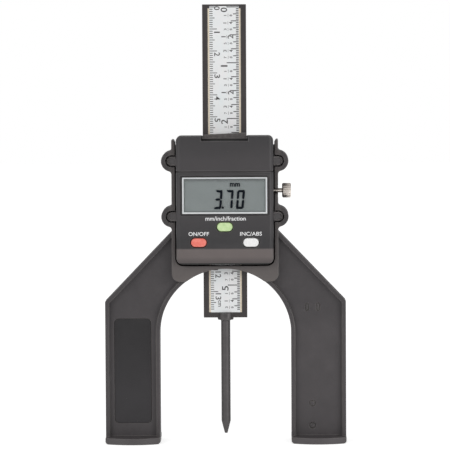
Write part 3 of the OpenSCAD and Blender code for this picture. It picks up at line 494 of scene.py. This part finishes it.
def labelFilm(name):
    # silvery printed film with faint warm and cool bands and fine rolled lines
    finish = Finish(name)
    cast = finish.noise(0.005, 3, 0.6, finish.stretched(1.3, 1, 0.5))
    rolled = finish.noise(0.00025, 2, 0.5, finish.stretched(6, 1, 0.3))
    wear = finish.ramp(finish.noise(0.0024, 5, 0.7), (0.6, 0), (0.82, 1))
    tone = finish.blend(cast, (0.915, 0.872, 0.868), (0.832, 0.897, 0.912))
    tone = finish.blend(wear * 0.4, tone, (0.78, 0.79, 0.8))
    return finish.surface(
        colour=tone, roughness=0.4 + rolled * 0.14, metallic=0.1 + rolled * 0.08,
        normal=finish.bump(rolled, 0.000006),
    )


def creamBoard(name):
    # bare laminate edge, warm with darker flecks
    finish = Finish(name)
    fleck = finish.noise(0.0007, 4, 0.7)
    layer = finish.noise(0.00015, 1, 0.5, finish.stretched(1, 8, 1))
    return finish.surface(
        colour=finish.blend(finish.ramp(fleck, (0.35, 0), (0.7, 1)), (0.88, 0.79, 0.65), (0.74, 0.64, 0.48)),
        roughness=0.55 + layer * 0.15, normal=finish.bump(fleck + layer, 0.00001),
    )


def printInk(name, look):
    # thin screen-printed ink with slightly uneven cover
    finish = Finish(name)
    cover = finish.noise(look["grain"], 3, 0.6)
    return finish.surface(
        colour=finish.blend(finish.ramp(cover, (0.3, 0), (0.75, 1)), look["full"], look["thin"]),
        roughness=0.5 + cover * 0.12, normal=finish.bump(cover, 0.000004), specular=look["shine"],
    )


inkLooks = {
    "white": {"full": (1.0, 1.0, 1.0), "thin": (0.88, 0.88, 0.89), "grain": 0.0003, "shine": 0.4},
    "grey": {"full": (0.06, 0.056, 0.058), "thin": (0.12, 0.115, 0.115), "grain": 0.0004, "shine": 0.2},
    "segment": {"full": (0.004, 0.006, 0.009), "thin": (0.01, 0.014, 0.02), "grain": 0.0006, "shine": 0.05},
}

finishes = {
    "bridge": mouldedPlastic("BridgePlastic", bridgeLook),
    "head": mouldedPlastic("HeadPlastic", headLook),
    "rear": mouldedPlastic("RearFramePlastic", frameLook),
    "bar": mouldedPlastic("BarFinish", barLook),
    "panel": mouldedPlastic("LabelPanelFilm", panelLook),
    "red": buttonPlastic("RedButton", buttonLooks["red"]),
    "green": buttonPlastic("GreenButton", buttonLooks["green"]),
    "white": buttonPlastic("WhiteButton", buttonLooks["white"]),
    "steel": plainMetal("ScrewSteel", steelLook),
    "nickel": plainMetal("NickelPlate", nickelLook),
    "brass": plainMetal("TurnedBrass", brassLook),
    "probe": plainMetal("BlackenedSteel", probeLook),
    "circuit": circuitBoard("CircuitBoard"),
    "felt": feltFinish("WiperFelt"),
    "strip": stripRubber("LayeredStrip"),
    "display": displayGlass("DisplayGlass", displayLook),
    "pane": clearPane("ClearPane"),
    "frame": whiteGloss("DisplayFrameWhite", frameLine),
    "film": labelFilm("RuleFilm"),
    "cream": creamBoard("BoardEdge"),
    "inkWhite": printInk("LegendInk", inkLooks["white"]),
    "inkGrey": printInk("RuleInk", inkLooks["grey"]),
    "segment": printInk("DisplaySegment", inkLooks["segment"]),
}
print("finishes made:", len(finishes))

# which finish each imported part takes
nodeFinishes = {
    "bridge": ["bridge_frame"],
    "panel": ["leg_label"],
    "rear": ["head_rear_frame", "board_connector", "reader_chip"],
    "head": ["head_cover", "battery_cover"],
    "frame": ["lcd_bezel", "lcd_holder"],
    "pane": ["lcd_window"],
    "display": ["lcd_panel"],
    "strip": ["zebra_strips"],
    "circuit": ["display_board", "reader_board"],
    "steel": ["switch_domes", "battery", "battery_minus_contact", "battery_plus_contact",
              "case_screws", "board_screws", "head_screws", "stop_screw"],
    "red": ["on_off_button"],
    "green": ["units_button"],
    "white": ["zero_button"],
    "felt": ["top_wiper", "bottom_wiper"],
    "nickel": ["lock_screw"],
    "brass": ["lock_nut", "lock_pad"],
    "bar": ["beam"],
    "cream": ["scale_board"],
    "film": ["scale_label"],
    "probe": ["probe_rod", "probe_pin"],
}
for finishName, nodeNames in nodeFinishes.items():
    for nodeName in nodeNames:
        node = frame["nodes"][nodeName]
        for materialSlot in node.material_slots:
            materialSlot.material = finishes[finishName]


softParts = {
    # piece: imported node, body, slot, finish, edge radius in mm, steps, heights where a pierced face is split
    "bridge_moulding": ("bridge_frame", "body", "bridge_plastic", "bridge", 0.25, 2, []),
    "label_panel": ("leg_label", "body", "panel_plastic", "panel", 0.1, 2, []),
    "head_rear_shell": ("head_rear_frame", "body", "frame_plastic", "rear", 0.2, 2, [104, 129]),
    "head_front_shell": ("head_cover", "body", "head_plastic", "head", 0.4, 3, [92.2, 99.3, 113.5]),
    "battery_door": ("battery_cover", "battery_door", "head_plastic", "head", 0.4, 3, []),
    "display_frame": ("lcd_bezel", "body", "lcd_white", "frame", 0.15, 2, []),
    "on_off_cap": ("on_off_button", "on_off_key", "red_plastic", "red", 0.5, 4, []),
    "units_cap": ("units_button", "units_key", "green_plastic", "green", 0.5, 4, []),
    "zero_cap": ("zero_button", "zero_key", "white_plastic", "white", 0.5, 4, []),
    "slide_bar": ("beam", "sliding_bar", "bar_steel", "bar", 0.2, 2, []),
    "lock_thumb_screw": ("lock_screw", "clamp_screw", "nickel", "nickel", 0.08, 1, []),
    "probe_point": ("probe_rod", "sliding_bar", "probe_steel", "probe", 0.12, 2, []),
}
# lengths in mm and angles in degrees: vertices merged, faces still flat, edges rounded, edges shaded smooth
softening = {"merged": 0.002, "flat": 0.5, "rounded": 32, "smooth": 40}


def softened(name, node, body, slot, finish, radius, steps, splits):
    # a copy of a imported part, cleaned, with its sharp edges rounded and marked for edge wear and a painted
    # edge highlight
    only(frame["nodes"][node])
    bpy.ops.object.duplicate()
    piece = bpy.context.view_layer.objects.active
    piece.name = name
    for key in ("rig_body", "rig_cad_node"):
        if key in piece:
            del piece[key]
    piece.parent = None
    bpy.ops.mesh.customdata_custom_splitnormals_clear()
    bpy.ops.object.mode_set(mode="EDIT")
    bpy.ops.mesh.select_all(action="SELECT")
    bpy.ops.mesh.remove_doubles(threshold=softening["merged"] * mm)
    for height in splits:
        bpy.ops.mesh.select_all(action="SELECT")
        bpy.ops.mesh.bisect(plane_co=(0, 0, height * mm), plane_no=(0, 0, 1))
        bpy.ops.mesh.mark_seam()
    if splits:
        bpy.ops.mesh.select_all(action="SELECT")
        bpy.ops.mesh.bisect(plane_co=(0, 0, 0), plane_no=(1, 0, 0))
        bpy.ops.mesh.mark_seam()
    bpy.ops.mesh.select_all(action="SELECT")
    bpy.ops.mesh.dissolve_limited(angle_limit=math.radians(softening["flat"]), delimit={"SEAM"})
    bpy.ops.object.mode_set(mode="OBJECT")
    while len(piece.material_slots) < 2:
        bpy.ops.object.material_slot_add()
    for face in piece.data.polygons:
        face.material_index = 0
    applied(piece, "BEVEL", width=radius * mm, segments=steps, limit_method="ANGLE", material=1,
            angle_limit=math.radians(softening["rounded"]), loop_slide=False, use_clamp_overlap=False)
    applied(piece, "TRIANGULATE", min_vertices=5, ngon_method="CLIP")
    # the bevel faces are marked for the rim tone: edge wear and painted highlight
    wear = piece.data.attributes.new("edgeWear", "FLOAT", "CORNER")
    for face in piece.data.polygons:
        for corner in face.loop_indices:
            wear.data[corner].value = face.material_index
        face.material_index = 0
    smoothed(piece, softening["smooth"])
    applied(piece, "WEIGHTED_NORMAL", keep_sharp=True, weight=80)
    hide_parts(node)
    onBody(piece, body, finishes[finish])
    return piece


softPieces = {}
for pieceName, facts in softParts.items():
    made = softPieces[pieceName] = softened(pieceName, *facts)
    print("softened", pieceName, len(made.data.polygons))

# the display frame is a shade smaller than its opening, so that the shadow gap round it shows
frameFit = {"wide": 0.984, "high": 0.978, "middle": 113.62}
displayFrame = softPieces["display_frame"]
displayFrame.scale = (frameFit["wide"], 1, frameFit["high"])
displayFrame.location.z = (1 - frameFit["high"]) * frameFit["middle"] * mm
settled(displayFrame)

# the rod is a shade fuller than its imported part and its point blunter, and its collar keeps its size
rodFit = {
    # heights and radii in mm; the radii are those of the point's end and of the stem
    "tip": 3.7, "taper": 5.8, "stemTop": 55.5, "collar": 56.0, "packed": (0.35, 2.0), "fuller": (0.62, 2.13),
}
for vertex in softPieces["probe_point"].data.vertices:
    height = vertex.co.z / mm
    taperShare = min(max((height - rodFit["tip"]) / rodFit["taper"], 0), 1)
    packed, fuller = [end + taperShare * (stem - end) for end, stem in (rodFit["packed"], rodFit["fuller"])]
    stemShare = min(max((rodFit["collar"] - height) / (rodFit["collar"] - rodFit["stemTop"]), 0), 1)
    growth = 1 + stemShare * (fuller / packed - 1)
    vertex.co.x *= growth
    vertex.co.y *= growth

# a lip along the battery door's lower edge closes the seam under it, set back a little from the face
seamLip = {"middle": (0, -12.9, 124.35), "size": (43.4, 1.75, 0.26), "edge": 0.06}
bpy.ops.object.select_all(action="DESELECT")
bpy.ops.mesh.primitive_cube_add(size=1, location=[value * mm for value in seamLip["middle"]])
doorLip = bpy.context.object
doorLip.name = "door_lip"
doorLip.scale = [value * mm for value in seamLip["size"]]
settled(doorLip)
applied(doorLip, "BEVEL", width=seamLip["edge"] * mm, segments=2)
smoothed(doorLip)
doorLip.data.materials.append(finishes["head"])
joined("battery_door", [softPieces["battery_door"], doorLip])


def lettering(words, middle, size, depth, turn=0, bold=0.0):
    # flat letters facing the front, fitted to a width and a height, turned clockwise in degrees
    bpy.ops.object.select_all(action="DESELECT")
    bpy.ops.object.text_add()
    piece = bpy.context.object
    piece.data.body = words
    piece.data.size = 1
    piece.data.offset = bold
    piece.data.resolution_u = 3
    piece.data.extrude = 0.5
    bpy.ops.object.convert(target="MESH")
    piece = bpy.context.object
    corners = [Vector(corner) for corner in piece.bound_box]
    low = Vector(min(corner[axis] for corner in corners) for axis in range(3))
    high = Vector(max(corner[axis] for corner in corners) for axis in range(3))
    for vertex in piece.data.vertices:
        across = (vertex.co.x - (low.x + high.x) / 2) / (high.x - low.x) * size[0]
        up = (vertex.co.y - (low.y + high.y) / 2) / (high.y - low.y) * size[1]
        vertex.co = (across * mm, -depth * mm if vertex.co.z > 0 else 0, up * mm)
    piece.rotation_euler = (0, math.radians(turn), 0)
    piece.location = (middle[0] * mm, middle[1] * mm, middle[2] * mm)
    settled(piece)
    return piece


rule = {
    # heights and widths in mm; the columns are measured across from the bar's middle
    "front": -1.75, "ink": 0.015, "zero": 198.9, "centimetres": 13, "inches": 5,
    "left": -6.7, "right": 6.7, "line": {"left": 0.34, "right": 0.42},
    "centimetreFigure": {"across": -3.25, "wide": 1.7, "high": 2.6, "drop": 1.5, "pairDrop": 0.72},
    "inchFigure": {"across": -0.05, "wide": 2.1, "high": 3.0, "drop": 1.45},
    "zeroDrop": {"centimetre": 0.55, "inch": 1.3},
    "unit": {"across": -2.75, "drop": 135.45, "size": (2.9, 1.3)},
}


def tickRow(name, side, reach, pitch, count):
    # one tick, repeated downward; reach is measured from the label's edge, from one distance to another
    bpy.ops.object.select_all(action="DESELECT")
    bpy.ops.mesh.primitive_plane_add(size=1)
    piece = bpy.context.object
    piece.name = name
    towards = 1 if side == "left" else -1
    middle = rule[side] + towards * (reach[0] + reach[1]) / 2
    piece.scale = ((reach[1] - reach[0]) * mm, rule["line"][side] * mm, 1)
    piece.rotation_euler = (math.radians(90), 0, 0)
    piece.location = (middle * mm, rule["front"] * mm, rule["zero"] * mm)
    settled(piece)
    applied(piece, "ARRAY", use_relative_offset=False, use_constant_offset=True,
            constant_offset_displace=(0, 0, -pitch * mm), count=count)
    applied(piece, "SOLIDIFY", thickness=rule["ink"] * mm, offset=1)
    return piece


inch = 25.4
ticks = [
    tickRow("millimetres", "left", (0.05, 1.5), 1, rule["centimetres"] * 10 + 9),
    tickRow("fives", "left", (1.5, 2.4), 5, rule["centimetres"] * 2 + 2),
    tickRow("tens", "left", (2.3, 3.4), 10, rule["centimetres"] + 1),
    tickRow("thirtySeconds", "right", (0.1, 1.3), inch / 32, rule["inches"] * 32 + 15),
    tickRow("eighths", "right", (1.3, 2.6), inch / 8, rule["inches"] * 8 + 4),
    tickRow("quarters", "right", (2.6, 3.6), inch / 4, rule["inches"] * 4 + 2),
    tickRow("halves", "right", (3.6, 4.2), inch / 2, rule["inches"] * 2 + 1),
    tickRow("wholes", "right", (4.2, 5.6), inch, rule["inches"] + 1),
]
ruleTicks = joined("rule_ticks", ticks)
onBody(ruleTicks, "sliding_bar", finishes["inkGrey"])
print("rule ticks", len(ruleTicks.data.polygons))


def ruleText(words, across, z, size, turn):
    return lettering(words, (across, rule["front"], z), size, rule["ink"], turn, 0.01)


# widths of the narrow and the two-figure numbers, against that of one full figure
digitWidths = {"1": 0.34, "10": 1.7, "11": 1.1, "12": 1.7, "13": 1.7}
numbers = []
figure = rule["centimetreFigure"]
for number in range(rule["centimetres"] + 1):
    words = str(number)
    drop = rule["zeroDrop"]["centimetre"] if number == 0 else figure["drop"]
    z = rule["zero"] - number * 10 - drop - (figure["pairDrop"] if len(words) > 1 else 0)
    size = (figure["wide"] * digitWidths.get(words, 1), figure["high"])
    numbers.append(ruleText(words, figure["across"], z, size, 90))
unit = rule["unit"]
numbers.append(ruleText("cm", unit["across"], rule["zero"] - unit["drop"], unit["size"], 90))

# inches with their eighths: the half is the largest, the eighths are the smallest
fractions = {
    # parts of an inch: height and place across of both figures, drop under the tick, place of the bar
    2: {"upper": (2.0, -0.3), "lower": (2.6, 2.85), "drop": 0.85, "bar": 1.15},
    4: {"upper": (1.5, 0.35), "lower": (1.6, 3.1), "drop": 0.95, "bar": 1.75},
    8: {"upper": (1.2, 0.5), "lower": (1.2, 3.1), "drop": 0.7, "bar": 1.8},
}
slender, barSize = 0.66, (1.4, 0.14)
figure = rule["inchFigure"]
for number in range(rule["inches"] + 1):
    words = str(number)
    drop = rule["zeroDrop"]["inch"] if number == 0 else figure["drop"]
    size = (figure["wide"] * digitWidths.get(words, 1), figure["high"])
    numbers.append(ruleText(words, figure["across"], rule["zero"] - number * inch - drop, size, -90))
    # past the last whole inch, the rule ends after three eighths
    for eighth in range(1, 8 if number < rule["inches"] else 4):
        share = math.gcd(eighth, 8)
        parts = 8 // share
        facts = fractions[parts]
        z = rule["zero"] - (number + eighth / 8) * inch - facts["drop"]
        for words, (high, across) in ((str(eighth // share), facts["upper"]), (str(parts), facts["lower"])):
            size = (high * slender * digitWidths.get(words, 1), high)
            numbers.append(ruleText(words, across, z, size, -90))
        numbers.append(ruleText("-", facts["bar"], z, barSize, -90))
ruleNumbers = joined("rule_numbers", numbers)
onBody(ruleNumbers, "sliding_bar", finishes["inkGrey"])
print("rule numbers", len(ruleNumbers.data.polygons))

# words on the face: place across and height, then size
legendInk = {"front": -14.0, "thick": 0.02, "bold": 0.012}
legends = {
    "legend_units": ("mm/inch/fraction", (0.35, 103.15), (18.3, 1.95)),
    "legend_on_off": ("ON/OFF", (-11.85, 96.15), (9.3, 1.75)),
    "legend_zero": ("INC/ABS", (11.85, 96.15), (9.9, 1.75)),
}
for pieceName, (words, (x, z), size) in legends.items():
    place = (x, legendInk["front"], z)
    legend = lettering(words, place, size, legendInk["thick"], 0, legendInk["bold"])
    legend.name = pieceName
    onBody(legend, "body", finishes["inkWhite"])

# what the display shows: seven bars for each digit, leaning to the right
display = {
    "front": -13.31, "ink": 0.015, "height": 8.6, "width": 3.5, "bar": 1.05, "gap": 0.12, "lean": 4.8,
    "middle": 111.7, "digits": {-2.95: "3", 2.05: "7", 7.15: "0"}, "corner": 0.1,
    "point": ((-0.85, 108.05), (0.85, 1.15)), "unit": ((4.65, 118.4), (4.6, 1.7)), "unitBold": 0.03,
}
segments = {"3": "abgcd", "7": "abc", "0": "abcdef"}


def displayBar(length, thick, mitres):
    # a lying bar; mitres are how far its upper and its lower corners are cut back
    upper, lower = mitres
    bpy.ops.object.select_all(action="DESELECT")
    bpy.ops.mesh.primitive_circle_add(vertices=6, fill_type="NGON", radius=mm)
    piece = bpy.context.object
    half, rise = length / 2, thick / 2
    shape = [
        (half, 0), (half - upper, rise), (upper - half, rise),
        (-half, 0), (lower - half, -rise), (half - lower, -rise),
    ]
    for vertex, (x, z) in zip(piece.data.vertices, shape):
        vertex.co = (x * mm, 0, z * mm)
    bpy.ops.object.mode_set(mode="EDIT")
    bpy.ops.mesh.select_all(action="SELECT")
    bpy.ops.mesh.bevel(offset=display["corner"] * mm, segments=2, affect="VERTICES")
    bpy.ops.mesh.extrude_region_move(TRANSFORM_OT_translate={"value": (0, -display["ink"] * mm, 0)})
    bpy.ops.mesh.select_all(action="SELECT")
    bpy.ops.mesh.normals_make_consistent(inside=False)
    bpy.ops.object.mode_set(mode="OBJECT")
    return piece


def displayDigit(x, letters):
    # the bars of one digit: place across and up, turn, length and mitres of each
    wide, tall, bar, gap = (display[name] for name in ("width", "height", "bar", "gap"))
    down = tall / 2 - gap
    outside = (0.1, bar * 0.85)
    short, square = down - 0.35, (0.3, 0.45)
    places = {
        "a": (0.12, tall / 2 - bar / 2, 0, wide - gap * 2 - 0.3, outside),
        "d": (-0.1, -tall / 2 + bar / 2, 180, wide - gap * 2 - 0.3, outside),
        "b": (wide / 2 - bar / 2, tall / 4 - 0.1, 90, short, square),
        "c": (wide / 2 - bar / 2, -tall / 4 + 0.1, 90, short, square),
        "e": (-wide / 2 + bar / 2, -tall / 4 + 0.1, -90, short, square),
        "f": (-wide / 2 + bar / 2, tall / 4 - 0.1, -90, short, square),
        "g": (-bar * 0.1, 0, 0, wide - bar, (bar / 2, bar / 2)),
    }
    made = []
    for letter in letters:
        across, up, turn, long, mitres = places[letter]
        piece = displayBar(long, bar, mitres)
        piece.rotation_euler = (0, math.radians(turn), 0)
        piece.location = (across * mm, 0, up * mm)
        settled(piece)
        made.append(piece)
    digit = joined("digit", made)
    slope = math.tan(math.radians(display["lean"]))
    for vertex in digit.data.vertices:
        vertex.co.x += vertex.co.z * slope + x * mm
        vertex.co.y += display["front"] * mm
        vertex.co.z += display["middle"] * mm
    return digit


def displayText(words, where, size, bold=0.0):
    return lettering(words, (where[0], display["front"], where[1]), size, display["ink"], 0, bold)


shown = [displayDigit(x, segments[figure]) for x, figure in display["digits"].items()]
shown.append(displayText(".", *display["point"]))
shown.append(displayText("mm", *display["unit"], display["unitBold"]))
reading = joined("display_reading", shown)
onBody(reading, "body", finishes["segment"])
print("display and legends made")


room = {
    # a floor six metres wide, just under the feet, and how white floor and backdrop look to each kind of ray
    "wide": 6, "drop": 0.0001, "floorSeen": 0.62, "floorMirrored": 0.5, "skyLight": 0.5, "skySeen": 1.0,
}
lamps = {
    # place, size and power of each soft panel, all aimed at the middle of the gauge
    "panelLeft": ((-0.75, -0.85, 0.55), 0.7, 3.4),
    "panelRight": ((0.8, -0.8, 0.35), 0.7, 2.4),
    "panelLow": ((0.27, -0.34, 0.04), 0.2, 0.16),
}
lampAim = Vector((0, 0, 0.1))


def studio():
    floor = Finish("Floor")
    path = floor.node("LightPath", {}, {}, "Is Camera Ray")
    mirrored = floor.node("LightPath", {}, {}, "Is Glossy Ray")
    tone = floor.blend(floor.noise(0.05, 2), (0.9, 0.9, 0.9), (0.92, 0.92, 0.92))
    matt = floor.node("BsdfDiffuse", {}, {"Color": tone})
    strength = path * room["floorSeen"] + mirrored * room["floorMirrored"]
    lift = floor.node("Emission", {}, {"Color": (1.0, 1.0, 1.0), "Strength": strength})
    floor.node("OutputMaterial", {}, {"Surface": floor.node("AddShader", {}, {0: matt, 1: lift})})
    bpy.ops.object.select_all(action="DESELECT")
    bpy.ops.mesh.primitive_plane_add(size=room["wide"], location=(0, 0, -room["drop"]))
    ground = bpy.context.object
    ground.name = "studio_floor"
    ground.data.materials.append(floor.material)
    ground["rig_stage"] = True

    world = bpy.data.worlds.new("Studio")
    bpy.context.scene.world = world
    world.use_nodes = True
    nodes, links = world.node_tree.nodes, world.node_tree.links
    nodes.clear()
    rays = nodes.new("ShaderNodeLightPath")
    seen = nodes.new("ShaderNodeMath")
    seen.operation = "ADD"
    seen.use_clamp = True
    links.new(rays.outputs["Is Camera Ray"], seen.inputs[0])
    links.new(rays.outputs["Is Transmission Ray"], seen.inputs[1])
    level = nodes.new("ShaderNodeMapRange")
    level.inputs["To Min"].default_value = room["skyLight"]
    level.inputs["To Max"].default_value = room["skySeen"]
    links.new(seen.outputs[0], level.inputs["Value"])
    sky = nodes.new("ShaderNodeBackground")
    sky.inputs["Color"].default_value = (1, 1, 1, 1)
    links.new(level.outputs[0], sky.inputs["Strength"])
    end = nodes.new("ShaderNodeOutputWorld")
    links.new(sky.outputs[0], end.inputs["Surface"])

    for name, (place, size, power) in lamps.items():
        lamp = bpy.data.lights.new(name, "AREA")
        lamp.size = size
        lamp.energy = power
        panel = bpy.data.objects.new(name, lamp)
        panel.location = place
        panel.rotation_euler = (lampAim - Vector(place)).to_track_quat("-Z", "Y").to_euler()
        bpy.context.scene.collection.objects.link(panel)


studio()

# the photograph is 450 pixels wide, with this many pixels to the millimetre at the aim's distance
view = {
    "distance": 1.5, "scale": 2.194, "pixels": 450, "aim": (0.0, -0.006, 0.0997),
    "pitch": 3.5, "turn": 0.6, "lean": 0.3,
}
camera = bpy.data.cameras.new("PhotoCamera")
camera.sensor_width = 36
camera.lens = view["distance"] * camera.sensor_width / (view["pixels"] / view["scale"] * mm)
eye = bpy.data.objects.new("PhotoCamera", camera)
facing = (
    Matrix.Rotation(math.radians(view["turn"]), 4, "Z")
    @ Matrix.Rotation(math.radians(90 - view["pitch"]), 4, "X")
    @ Matrix.Rotation(math.radians(-view["lean"]), 4, "Z")
)
eye.location = Vector(view["aim"]) + facing @ Vector((0, 0, view["distance"]))
eye.rotation_euler = facing.to_euler()
bpy.context.scene.collection.objects.link(eye)
bpy.context.scene.camera = eye
bpy.context.scene.view_settings.view_transform = "Standard"
print("camera lens", round(camera.lens, 1))

low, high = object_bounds()
